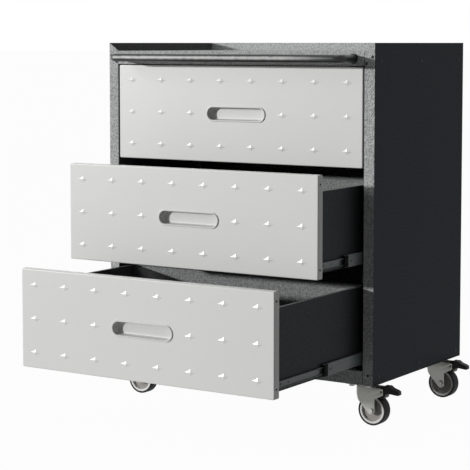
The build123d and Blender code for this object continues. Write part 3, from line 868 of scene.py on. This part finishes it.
@dataclass
class CabinetBody(Assembly):
    """The folded-sheet body with its tray, base, handle and screws."""

    sheets: tuple[str, ...] = (
        "side_panel_left", "side_panel_right", "back_panel", "top_tray", "base_pan",
        "slide_upright_left", "slide_upright_right",
    )
    stiffeners: str = "caster_stiffeners"
    handle: tuple[str, ...] = ("push_handle", "handle_arms")
    body: str = "cabinet"

    def build(self) -> None:
        """Dresses the sheets, stiffeners and handle and makes the screw heads."""
        for node in self.sheets:
            self.keep(node, Slot.HAMMERED)
        self.keep(self.stiffeners, Slot.SLIDE)
        for node in self.handle:
            self.keep(node, Slot.HANDLE)
        self.button_heads("body_screws", self.body)


@dataclass
class Drawer(Assembly):
    """One drawer: stamped front, recessed pull, box and telescopic slides."""

    # Sections in millimetres: half of a rivet head, and a bead across and out from the web
    RIVET_SECTION = ((0.0, 0.0), (2.6, 0.0), (2.4, 0.4), (1.5, 0.75), (0.0, 0.85))
    BEAD_SECTION = (
        (-2.2, -0.3), (-2.2, 0.1), (-1.3, 0.7), (0.0, 0.9), (1.3, 0.7), (2.2, 0.1), (2.2, -0.3)
    )

    number: int = 1
    sheet: float = 1.0 * MM
    flange: float = 21.0 * MM
    edge_round: float = 2.5 * MM
    corner_round: float = 4.0 * MM
    flat_rim: float = 1.0 * MM
    top_clear: float = 0.8 * MM
    fold_steps: int = 12
    front_crease: float = 9.0
    star_columns: int = 8
    star_rows: int = 3
    star_edge_x: float = 43.0 * MM
    star_edge_z: float = 39.0 * MM
    star_half_w: float = 17.5 * MM
    star_half_h: float = 9.0 * MM
    star_waist: float = 0.41
    star_rise: float = 1.5 * MM
    star_sunk: float = 0.1 * MM
    lip: float = 4.0 * MM
    lip_round: float = 1.2 * MM
    cup_draft: float = 1.2 * MM
    wall: float = 1.4 * MM
    floor_inset: float = 9.0 * MM
    floor_round: float = 5.0 * MM
    hole_fit: float = 0.1 * MM
    turn_steps: int = 24
    round_steps: int = 6
    rail_steel: float = 1.2 * MM
    rail_round: float = 0.45 * MM
    inner_rivets: tuple[float, ...] = (11.0, 19.0, 52.0, 390.0)
    middle_rivets: tuple[float, ...] = (27.0, 35.0, 330.0)
    rivet_sides: int = 16
    stop_proud: float = 0.7 * MM
    stop_thick: float = 2.6 * MM
    stop_long: float = 19.0 * MM
    stop_middle: float = 8.5 * MM
    stop_clear: float = 1.0 * MM
    stop_round: float = 0.6 * MM
    bead_spread: float = 10.0 * MM
    bead_front: float = 19.0 * MM
    bead_rear: float = 3.0 * MM
    bead_taper: float = 6.0 * MM
    bead_sunk: float = 0.3 * MM
    bead_crease: float = 50.0

    @property
    def body(self) -> str:
        """The CAD body of the drawer itself."""
        return f"drawer_{self.number}"

    def name(self, piece: str) -> str:
        """Gives the CAD name of one of the drawer's pieces."""
        return f"{self.body}_{piece}"

    def build(self) -> None:
        """Dresses the drawer's nodes and makes its front, pull, screw heads and slide fittings."""
        slide = self.name("slide")
        self.keep(self.name("box"), Slot.BOX)
        self.keep(self.name("ball_cages"), Slot.CAGE)
        self.fit(self.front(), self.body, Slot.FRONT, self.name("front"))
        self.fit(self.pull(), self.body, Slot.PULL, self.name("pull"))
        self.button_heads(self.name("front_screws"), self.body)
        for member, body in (("inner", self.body), ("middle", slide), ("outer", "cabinet")):
            node = self.name(member + "_rails")
            rails = Forge.piece(node + "_rolled", Forge.softened(node, self.rail_round))
            self.fit(rails, body, Slot.SLIDE, node)
        self.fit(self.slide_stops(), slide, Slot.CAGE)
        self.fit(self.slide_rivets("inner", self.inner_rivets), self.body, Slot.SCREW)
        self.fit(self.slide_rivets("middle", self.middle_rivets), slide, Slot.SCREW)
        self.fit(self.slide_beads(), slide, Slot.SLIDE)

    def face(self) -> float:
        """Gives the place of the front's outer face along the drawer's travel."""
        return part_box(self.name("front"))[1].y - self.flange

    def stadium(
        self, mesh: Mesh, centre: Vector, straight: float, radius: float, depth: float
    ) -> Ring:
        """Lays out one stadium-shaped ring.

        Args:
            mesh: the mesh that takes it.
            centre: its middle.
            straight: half the distance between its end centres.
            radius: radius of its ends.
            depth: its place along the drawer's travel.

        Returns:
            The ring's vertices in order.
        """
        ring = []
        for end, start in ((straight, -QUARTER_TURN), (-straight, QUARTER_TURN)):
            for step in range(self.turn_steps + 1):
                angle = start + math.pi * step / self.turn_steps
                x = centre.x + end + radius * math.cos(angle)
                ring.append(mesh.verts.new((x, depth, centre.z + radius * math.sin(angle))))
        return ring

    def fold_rings(
        self, mesh: Mesh, centre: Vector, half_w: float, half_h: float, inset: float
    ) -> list[Ring]:
        """Lays out the rings of one skin of the front, from its rear rim to the face.

        Args:
            mesh: the mesh that takes them.
            centre: middle of the outer face.
            half_w: half the front's width.
            half_h: half the front's height.
            inset: depth of the skin below the outer surface.

        Returns:
            The rings, the one on the face last.
        """
        fold = self.edge_round
        bend = fold - inset
        stations = [(inset, centre.y + self.flange)]
        for step in range(self.fold_steps + 1):
            turn = QUARTER_TURN * step / self.fold_steps
            stations.append((fold - bend * math.cos(turn), centre.y + fold - bend * math.sin(turn)))
        stations.append((fold + self.flat_rim, centre.y + inset))
        rings = []
        for shrink, depth in stations:
            corner = self.corner_round - shrink
            ring = []
            for quarter, (way_x, way_z) in enumerate(((1, 1), (-1, 1), (-1, -1), (1, -1))):
                for step in range(self.fold_steps + 1):
                    angle = QUARTER_TURN * (quarter + step / self.fold_steps)
                    x = way_x * (half_w - shrink - corner) + corner * math.cos(angle)
                    z = way_z * (half_h - shrink - corner) + corner * math.sin(angle)
                    ring.append(mesh.verts.new((centre.x + x, depth, centre.z + z)))
            rings.append(ring)
        return rings

    def front(self) -> bpy.types.Object:
        """Makes the folded front with its pull opening and stamped stars.

        Returns:
            The front.
        """
        low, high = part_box(self.name("front"))
        high = high - Vector((0.0, 0.0, self.top_clear))
        half = (high - low) / 2
        pull_low, pull_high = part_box(self.name("pull"))
        centre = Vector(((low.x + high.x) / 2, self.face(), (low.z + high.z) / 2))
        hole = (pull_high.z - pull_low.z) / 2 - self.lip + self.hole_fit
        straight = (pull_high.x - pull_low.x) / 2 - self.lip + self.hole_fit - hole
        mesh = bmesh.new()
        rims, mouths = [], []
        for inset in (0.0, self.sheet):
            rings = self.fold_rings(mesh, centre, half.x, half.z, inset)
            for first, second in zip(rings, rings[1:]):
                Forge.bridge(mesh, first, second)
            mouth = self.stadium(mesh, centre, straight, hole, centre.y + inset)
            edges = Forge.loop_edges(mesh, rings[-1]) + Forge.loop_edges(mesh, mouth)
            bmesh.ops.triangle_fill(mesh, use_beauty=True, edges=edges, normal=(0, -1, 0))
            rims.append(rings[0])
            mouths.append(mouth)
        Forge.bridge(mesh, *rims)
        Forge.bridge(mesh, *mouths)
        for x, z in self.star_places(low, high, pull_high.x - pull_low.x):
            self.star(mesh, Vector((x, centre.y, z)))
        return Forge.piece(self.name("front_stamped"), mesh, self.front_crease)

    def star_places(self, low: Vector, high: Vector, pull_w: float) -> list[Point2]:
        """Lists the middles of the stamped stars.

        Args:
            low: lowest corner of the front.
            high: highest corner of the front.
            pull_w: width of the pull, which the middle row stays clear of.

        Returns:
            Each star's place across and up.
        """
        spread = high.x - low.x - 2 * self.star_edge_x
        rise = high.z - low.z - 2 * self.star_edge_z
        places = []
        for row in range(self.star_rows):
            z = low.z + self.star_edge_z + rise * row / (self.star_rows - 1)
            for column in range(self.star_columns):
                x = low.x + self.star_edge_x + spread * column / (self.star_columns - 1)
                if row != 1 or abs(x) >= pull_w / 2 + self.star_half_w:
                    places.append((x, z))
        return places

    def star(self, mesh: Mesh, centre: Vector) -> None:
        """Stamps one flat-sided, four-pointed star with slightly hollow sides.

        Args:
            mesh: the front's mesh.
            centre: the star's middle on the face.
        """
        waist = self.star_waist
        outline = (
            (1, 0), (waist, waist), (0, 1), (-waist, waist),
            (-1, 0), (-waist, -waist), (0, -1), (waist, -waist),
        )
        base = []
        for u, v in outline:
            x, z = centre.x + u * self.star_half_w, centre.z + v * self.star_half_h
            base.append(mesh.verts.new((x, centre.y + self.star_sunk, z)))
        tip = mesh.verts.new((centre.x, centre.y - self.star_rise, centre.z))
        for first, second in zip(base, base[1:] + base[:1]):
            mesh.faces.new((tip, first, second))
        mesh.faces.new(base)

    def pull(self) -> bpy.types.Object:
        """Makes the recessed pull: a rounded lip round a stadium-shaped cup.

        Returns:
            The pull.
        """
        low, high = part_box(self.name("pull"))
        centre = (low + high) / 2
        outer = (high.z - low.z) / 2
        straight = (high.x - low.x) / 2 - outer
        rise = self.face() - low.y
        depth = high.y - low.y
        cup = depth - self.wall
        mouth = outer - self.lip
        floor = mouth - self.floor_inset
        foot = mouth - self.cup_draft
        corners = [
            (outer, rise, 0.0), (outer, 0.0, self.lip_round), (mouth, 0.0, self.lip_round),
            (foot, cup, self.floor_round), (floor, cup, 0.0),
            (floor, depth, 0.0), (foot + self.wall, depth, self.floor_round),
            (mouth + self.hole_fit / 2, rise, 0.0),
        ]
        section = Forge.rounded(corners, self.round_steps)
        mesh = bmesh.new()
        rings = [
            self.stadium(mesh, centre, straight, radius, low.y + back) for radius, back in section
        ]
        cup_floor = section.index((floor, cup))
        for index, ring in enumerate(rings):
            after = rings[(index + 1) % len(rings)]
            if index == cup_floor:
                mesh.faces.new(ring)
                mesh.faces.new(after)
            else:
                Forge.bridge(mesh, ring, after)
        return Forge.piece(self.name("pull_moulded"), mesh)

    def rails(self, member: str) -> list[tuple[Vector, Vector, float]]:
        """Gives the lowest and highest corner and the side, -1 or 1, of each rail of a member."""
        boxes = Forge.islands(self.name(member + "_rails"))
        return [(low, high, math.copysign(1.0, low.x + high.x)) for low, high in boxes]

    def slide_stops(self) -> bpy.types.Object:
        """Makes the moulded stops on the front ends of the middle slide members.

        Returns:
            The stops.
        """
        mesh = bmesh.new()
        for low, high, side in self.rails("middle"):
            out = max(abs(low.x), abs(high.x)) + self.stop_proud - self.stop_thick / 2
            middle = (side * out, low.y + self.stop_middle, (low.z + high.z) / 2)
            size = (self.stop_thick, self.stop_long, high.z - low.z - self.stop_clear)
            matrix = Matrix.Translation(middle) @ Matrix.Diagonal((*size, 1.0))
            made = bmesh.ops.create_cube(mesh, size=1.0, matrix=matrix)
            edges = {edge for vertex in made["verts"] for edge in vertex.link_edges}
            bmesh.ops.bevel(
                mesh, geom=list(edges), offset=self.stop_round, segments=2, profile=0.5,
                affect="EDGES",
            )
        return Forge.piece(self.name("slide_stops"), mesh)

    def slide_beads(self) -> bpy.types.Object:
        """Makes the two rolled beads along the web of each middle slide member.

        Returns:
            The beads.
        """
        mesh = bmesh.new()
        for low, high, side in self.rails("middle"):
            seat = max(abs(low.x), abs(high.x)) - self.bead_sunk
            front, rear = low.y + self.bead_front, high.y - self.bead_rear
            stations = (
                (front, 0.0), (front + self.bead_taper, 1.0),
                (rear - self.bead_taper, 1.0), (rear, 0.0),
            )
            for offset in (-self.bead_spread, self.bead_spread):
                z = (low.z + high.z) / 2 + offset
                rings = []
                for y, share in stations:
                    ring = []
                    for across, rise in self.BEAD_SECTION:
                        x = side * (seat + (rise * MM + self.bead_sunk) * share)
                        ring.append(mesh.verts.new((x, y, z + across * MM)))
                    rings.append(ring)
                for first, second in zip(rings, rings[1:]):
                    Forge.bridge(mesh, first, second)
        bmesh.ops.remove_doubles(mesh, verts=mesh.verts, dist=Forge.ON_AXIS)
        return Forge.piece(self.name("slide_beads"), mesh, self.bead_crease)

    def slide_rivets(self, member: str, places: tuple[float, ...]) -> bpy.types.Object:
        """Makes the rivet heads on the webs of one slide member.

        Args:
            member: middle, with its web outermost, or inner, with its web innermost.
            places: distances from the member's front end in millimetres.

        Returns:
            The rivet heads.
        """
        whole = bmesh.new()
        section = [(radius * MM, height * MM) for radius, height in self.RIVET_SECTION]
        for low, high, side in self.rails(member):
            near, far = sorted((abs(low.x), abs(high.x)))
            seat = far if member == "middle" else near + self.rail_steel
            for place in places:
                foot = Vector((side * seat, low.y + place * MM, (low.z + high.z) / 2))
                Forge.turn(whole, section, foot, Vector((side, 0, 0)), self.rivet_sides)
        return Forge.piece(self.name(member + "_rivets"), whole)


@dataclass
class Caster(Assembly):
    """One braked swivel caster: fork, axle, moulded wheel and brake pedal."""

    AXLE_WAY = Vector((0, 1, 0))

    corner: str = "front_right"
    fork_round: float = 0.6 * MM
    pedal_round: float = 1.6 * MM
    pedal_steps: int = 3
    pedal_tip: float = 0.55
    pedal_neck: float = 1 / 3
    wheel_sides: int = 72
    tread_round: float = 4.5 * MM
    tread_steps: int = 6
    tyre_tuck: float = 0.8 * MM
    tyre_round: float = 0.6 * MM
    ring_width: float = 6.0 * MM
    rim_depth: float = 4.6 * MM
    rim_tuck: float = 1.2 * MM
    rim_round: float = 0.7 * MM
    rim_inner_round: float = 0.9 * MM
    disc_half: float = 6.5 * MM
    disc_rise: float = 1.0 * MM
    disc_draft: float = 2.0 * MM
    disc_round: float = 3.0 * MM
    boss_radius: float = 9.0 * MM
    boss_draft: float = 1.0 * MM
    boss_round: float = 0.8 * MM
    boss_foot: float = 1.5 * MM
    bore: float = 4.05 * MM
    bore_round: float = 0.4 * MM

    def name(self, piece: str) -> str:
        """Gives the CAD name of one of the caster's pieces."""
        return f"caster_{self.corner}_{piece}"

    def build(self) -> None:
        """Dresses the caster's axle and makes its fork, pedal and wheel."""
        swivel, wheel, brake = (self.name(part) for part in ("swivel", "wheel", "brake"))
        self.keep(self.name("axle"), Slot.CASTER)
        fork = Forge.softened(self.name("fork"), self.fork_round)
        fork_piece = Forge.piece(self.name("fork_pressed"), fork)
        self.fit(fork_piece, swivel, Slot.CASTER, self.name("fork"))
        self.fit(self.pedal(), brake, Slot.PEDAL, self.name("pedal"))
        self.fit(self.tyre(), wheel, Slot.TYRE, self.name("tyre"))
        self.darken_disc(self.fit(self.hub(), wheel, Slot.HUB, self.name("hub")))

    def pedal(self) -> bpy.types.Object:
        """Makes the brake pedal, whose moulded lever narrows from the ears towards its tip.

        Returns:
            The pedal.
        """
        mesh = Forge.softened(self.name("pedal"), self.pedal_round, self.pedal_steps)
        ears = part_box(self.name("fork"))[1].x
        low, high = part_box(self.name("pedal"))
        middle = (low.y + high.y) / 2
        neck = (high.x - ears) * self.pedal_neck
        for corner in mesh.verts:
            share = min(max((corner.co.x - ears) / neck, 0.0), 1.0)
            width = 1.0 - (1.0 - self.pedal_tip) * share
            corner.co.y = middle + (corner.co.y - middle) * width
        return Forge.piece(self.name("pedal_moulded"), mesh)

    def tyre(self) -> bpy.types.Object:
        """Makes the tyre with its rounded tread.

        Returns:
            The tyre.
        """
        low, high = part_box(self.name("tyre"))
        rim_low, rim_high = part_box(self.name("hub"))
        radius = (high.z - low.z) / 2
        half = (high.y - low.y) / 2
        inner = (rim_high.z - rim_low.z) / 2
        tucked = half - self.tyre_tuck
        corners = [
            (inner, -tucked, self.tyre_round), (radius, -half, self.tread_round),
            (radius, half, self.tread_round), (inner, tucked, self.tyre_round),
        ]
        section = Forge.rounded(corners, self.tread_steps)
        mesh = bmesh.new()
        Forge.turn(mesh, section, (low + high) / 2, self.AXLE_WAY, self.wheel_sides)
        return Forge.piece(self.name("tyre_round"), mesh)

    def hub(self) -> bpy.types.Object:
        """Makes the moulded hub: a bright rim, recessed sides and a boss.

        Returns:
            The hub.
        """
        low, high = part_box(self.name("hub"))
        tyre_low, tyre_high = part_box(self.name("tyre"))
        rim = (high.z - low.z) / 2
        boss_half = (high.y - low.y) / 2
        rim_half = (tyre_high.y - tyre_low.y) / 2 - self.rim_tuck
        inner = rim - self.rim_depth
        one_side = [
            (self.bore, boss_half, self.bore_round),
            (self.boss_radius - self.boss_draft, boss_half, self.boss_round),
            (self.boss_radius, self.disc_half + self.disc_rise, self.boss_foot),
            (inner - self.disc_draft, self.disc_half, self.disc_round),
            (inner, rim_half, self.rim_inner_round),
            (rim, rim_half, self.rim_round),
        ]
        other_side = [(u, -v, r) for u, v, r in reversed(one_side)]
        section = Forge.rounded(one_side + other_side)
        mesh = bmesh.new()
        Forge.turn(mesh, section, (low + high) / 2, self.AXLE_WAY, self.wheel_sides)
        return Forge.piece(self.name("hub_moulded"), mesh)

    def darken_disc(self, hub: bpy.types.Object) -> None:
        """Gives the hub's sides inside the rim a darker grey material.

        Args:
            hub: the hub in its bright finish.
        """
        low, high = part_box(self.name("hub"))
        centre = (low + high) / 2
        edge = (high.z - low.z) / 2 - self.ring_width
        hub.data.materials.append(self.wardrobe.hub_disc)
        for face in hub.data.polygons:
            away = face.center - centre
            if math.hypot(away.x, away.z) < edge:
                face.material_index = 1


@dataclass
class CasterMounts(Assembly):
    """Plates, kingpins and bolts that hold the casters under the base."""

    nodes: tuple[str, ...] = ("caster_plates", "caster_kingpins", "caster_bolts")

    def build(self) -> None:
        """Dresses the mounting steel."""
        for node in self.nodes:
            self.keep(node, Slot.CASTER)


@dataclass(frozen=True)
class Softbox:
    """A square soft lamp: power in watts, width, place and the point it is aimed at."""

    name: str
    power: float
    width: float
    place: Point3
    target: Point3


@dataclass
class Studio:
    """Pale floor, lamps, world and the camera of the photograph."""

    camera_place: Point3 = (2.2932, -3.7814, 0.9413)
    camera_yaw: float = 32.979
    camera_pitch: float = 4.662
    camera_lens: float = 127.27
    camera_sensor: float = 36.0
    camera_shift: float = -0.12
    camera_reach: float = 200.0
    sky_colour: Colour = (0.97, 0.985, 1.0)
    sky_light: float = 0.06
    key_way: Point3 = (1.0, 1.0, -0.21)
    key_power: float = 2.43
    key_spread: float = 2.0
    softboxes: tuple[Softbox, ...] = (
        Softbox("top", 19.0, 1.2, (-0.1, 0.12, 3.4), (0.0, -0.2, 0.5)),
        Softbox("left", 15.0, 1.3, (-1.8, -2.0, 1.8), (0.0, -0.3, 0.6)),
    )
    floor_size: float = 900.0
    floor_cells: int = 4
    floor_colour: Colour = (0.5, 0.5, 0.5)
    floor_roughness: float = 0.9
    floor_specular: float = 0.1
    floor_glow: float = 0.97

    def build(self) -> None:
        """Sets up everything round the cabinet."""
        bpy.context.scene.view_settings.view_transform = "Standard"
        self.world()
        self.floor()
        self.lamps()
        self.camera()

    @staticmethod
    def seen_straight(sheet: NodeSheet) -> Plug:
        """Finds the rays that show the background straight, mirrored or through a pane.

        Args:
            sheet: the sheet of the world or material.

        Returns:
            1 for these rays and 0 for others.
        """
        path = sheet.add("ShaderNodeLightPath").outputs
        shown = sheet.math("MAXIMUM", path["Is Camera Ray"], path["Is Glossy Ray"])
        return sheet.math("MAXIMUM", shown, path["Is Transmission Ray"])

    @staticmethod
    def stand(data: bpy.types.ID, place: Point3, turn: Euler) -> bpy.types.Object:
        """Puts a lamp or a camera into the scene.

        Args:
            data: the lamp or camera.
            place: where it stands.
            turn: its rotation.

        Returns:
            The object, named like its data.
        """
        made = bpy.data.objects.new(data.name, data)
        made.location = place
        made.rotation_euler = turn
        bpy.context.scene.collection.objects.link(made)
        return made

    def world(self) -> None:
        """Makes a world that looks white and lights softly."""
        world = bpy.data.worlds.new("studio")
        bpy.context.scene.world = world
        world.use_nodes = True
        tree = world.node_tree
        sheet = NodeSheet(tree)
        shown = tree.nodes["Background"]
        shown.inputs["Color"].default_value = rgba((1.0, 1.0, 1.0))
        shown.inputs["Strength"].default_value = 1.0
        soft = sheet.add("ShaderNodeBackground", rgba(self.sky_colour), self.sky_light)
        mixed = sheet.choose(self.seen_straight(sheet), soft.outputs[0], shown.outputs[0])
        sheet.join(mixed, tree.nodes["World Output"].inputs["Surface"])

    def floor(self) -> None:
        """Makes the pale floor, which keeps a trace of the cabinet's shadow."""
        mesh = bmesh.new()
        cells = self.floor_cells
        bmesh.ops.create_grid(mesh, x_segments=cells, y_segments=cells, size=self.floor_size / 2)
        floor = Forge.piece("studio_floor", mesh)
        coat = Coating("studio_floor")
        coat.set(
            Base_Color=rgba(self.floor_colour), Roughness=self.floor_roughness,
            Specular_IOR_Level=self.floor_specular,
        )
        sheet = coat.sheet
        glow = sheet.add("ShaderNodeEmission").outputs[0]
        share = sheet.math("MULTIPLY", self.seen_straight(sheet), self.floor_glow)
        mixed = sheet.choose(share, coat.shader.outputs[0], glow)
        sheet.join(mixed, sheet.tree.nodes["Material Output"].inputs["Surface"])
        floor.data.materials.append(coat.material)

    def lamps(self) -> None:
        """Hangs the low key sun at the front left and the soft lamps above and at the left."""
        key = bpy.data.lights.new("key", "SUN")
        key.energy = self.key_power
        key.angle = math.radians(self.key_spread)
        turn = Vector(self.key_way).to_track_quat("-Z", "Y").to_euler()
        self.stand(key, (0.0, 0.0, 0.0), turn)
        for box in self.softboxes:
            light = bpy.data.lights.new(box.name, "AREA")
            light.energy = box.power
            light.size = box.width
            aim = Vector(box.target) - Vector(box.place)
            self.stand(light, box.place, aim.to_track_quat("-Z", "Y").to_euler())

    def camera(self) -> None:
        """Stands the camera where the photograph was taken."""
        data = bpy.data.cameras.new("photo_camera")
        data.lens = self.camera_lens
        data.sensor_width = self.camera_sensor
        data.shift_y = self.camera_shift
        data.clip_end = self.camera_reach
        tilt = math.radians(90.0 - self.camera_pitch)
        turn = Euler((tilt, 0.0, math.radians(self.camera_yaw)))
        bpy.context.scene.camera = self.stand(data, self.camera_place, turn)


def main() -> None:
    """Builds the cabinet's looks in order."""
    logging.basicConfig(level=logging.INFO, format="%(name)s: %(message)s")
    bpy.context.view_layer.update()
    wardrobe = Wardrobe()
    CabinetBody(wardrobe).build()
    for number in (1, 2, 3):
        Drawer(wardrobe, number=number).build()
    CasterMounts(wardrobe).build()
    for corner in ("front_left", "front_right", "rear_left", "rear_right"):
        Caster(wardrobe, corner=corner).build()
    Studio().build()
    bpy.context.view_layer.update()


if __name__ == "__main__":
    main()
